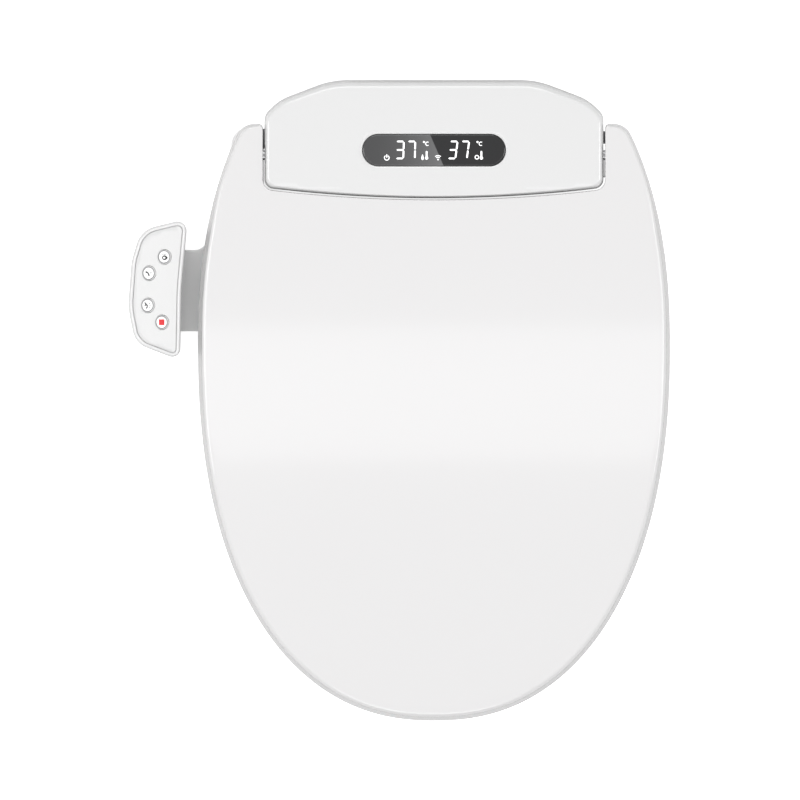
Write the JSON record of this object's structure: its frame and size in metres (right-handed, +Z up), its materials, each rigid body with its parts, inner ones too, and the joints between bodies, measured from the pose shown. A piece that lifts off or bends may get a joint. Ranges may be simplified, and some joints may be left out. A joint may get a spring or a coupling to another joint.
{
  "type": "electric bidet seat",
  "caption": "Electric bidet toilet seat: oval soft-close lid and heated seat hinged on a rear housing with sliding nozzles, a pill display and a side panel of round keys.",
  "frame": {"origin": "centre of the mounting plate's underside, on the line of the fixing bolts, in the plane of the toilet rim", "axes": "+Z up, +Y to the rear, -Y to the front tip of the lid, -X to the control panel side"},
  "size_m": [0.4331, 0.5124, 0.0779],
  "materials": {
    "white_gloss": "moulded gloss white plastic, very fine orange peel, softly polished",
    "white_satin": "moulded satin white plastic with a fine spark-eroded grain",
    "grey_plastic": "light grey moulded plastic, satin",
    "dark_plastic": "dark grey moulded plastic, satin",
    "display_black": "smoked acrylic lens, polished",
    "rubber_grey": "soft grey rubber, matt",
    "steel": "brushed stainless steel",
    "board_green": "green solder-masked circuit board",
    "heater_foil": "amber film heater with etched foil tracks",
    "key_red": "gloss white key cap with a red square"
  },
  "bodies": {
    "root": {"top_cover": "white_gloss", "display_lens": "display_black", "display_board": "board_green", "base_case": "white_satin", "mounting_plate": "grey_plastic", "hinge_shaft_left": "steel", "hinge_shaft_right": "steel", "seat_damper": "dark_plastic", "lid_damper": "dark_plastic", "nozzle_cradle": "grey_plastic", "nozzle_motor_left": "steel", "nozzle_motor_right": "steel", "nozzle_shield": "white_satin", "water_inlet": "dark_plastic", "inlet_strainer": "steel", "solenoid_valve": "white_satin", "water_pump": "dark_plastic", "water_heater": "white_satin", "dryer_fan": "dark_plastic", "main_board": "board_green", "power_gland": "dark_plastic", "side_arm": "grey_plastic", "panel_upper_case": "white_gloss", "panel_lower_case": "grey_plastic", "panel_faceplate": "white_satin", "panel_board": "board_green"},
    "seat": {"seat_upper_shell": "white_gloss", "seat_lower_shell": "white_satin", "seat_heater": "heater_foil", "seat_hinge_arm_left": "white_satin", "seat_buffer_front_left": "rubber_grey", "seat_buffer_middle_left": "rubber_grey", "seat_hinge_arm_right": "white_satin", "seat_buffer_front_right": "rubber_grey", "seat_buffer_middle_right": "rubber_grey"},
    "lid": {"lid_shell": "white_gloss", "lid_liner": "white_satin", "lid_hinge_arm_left": "white_satin", "lid_bumper_front_left": "rubber_grey", "lid_bumper_rear_left": "rubber_grey", "lid_hinge_arm_right": "white_satin", "lid_bumper_front_right": "rubber_grey", "lid_bumper_rear_right": "rubber_grey"},
    "key_seat": {"key_seat": "white_gloss"},
    "key_bidet": {"key_bidet": "white_gloss"},
    "key_spray": {"key_spray": "white_gloss"},
    "key_stop": {"key_stop": "key_red"},
    "rear_nozzle": {"rear_nozzle": "white_satin"},
    "front_nozzle": {"front_nozzle": "white_satin"},
    "release_button": {"release_button": "grey_plastic"}
  },
  "joints": [
    {"name": "seat_hinge", "type": "hinge", "parent": "root", "child": "seat", "pos_m": [0, -0.008, 0.066], "axis": [-1, 0, 0], "range_deg": [0, 95]},
    {"name": "lid_hinge", "type": "hinge", "parent": "seat", "child": "lid", "pos_m": [0, -0.008, 0.066], "axis": [1, 0, 0], "range_deg": [-105, 0]},
    {"name": "press_seat", "type": "slide", "parent": "root", "child": "key_seat", "axis": [0.4067, 0, -0.9135], "range_m": [0, 0.0008], "stiffness_N_per_m": 400},
    {"name": "press_bidet", "type": "slide", "parent": "root", "child": "key_bidet", "axis": [0.4067, 0, -0.9135], "range_m": [0, 0.0008], "stiffness_N_per_m": 400},
    {"name": "press_spray", "type": "slide", "parent": "root", "child": "key_spray", "axis": [0.4067, 0, -0.9135], "range_m": [0, 0.0008], "stiffness_N_per_m": 400},
    {"name": "press_stop", "type": "slide", "parent": "root", "child": "key_stop", "axis": [0.4067, 0, -0.9135], "range_m": [0, 0.0008], "stiffness_N_per_m": 400},
    {"name": "rear_nozzle_slide", "type": "slide", "parent": "root", "child": "rear_nozzle", "axis": [0, -0.9511, -0.309], "range_m": [0, 0.07]},
    {"name": "front_nozzle_slide", "type": "slide", "parent": "root", "child": "front_nozzle", "axis": [0, -0.9511, -0.309], "range_m": [0, 0.07]},
    {"name": "release_slide", "type": "slide", "parent": "root", "child": "release_button", "axis": [-1, 0, 0], "range_m": [0, 0.002], "stiffness_N_per_m": 500}
  ]
}
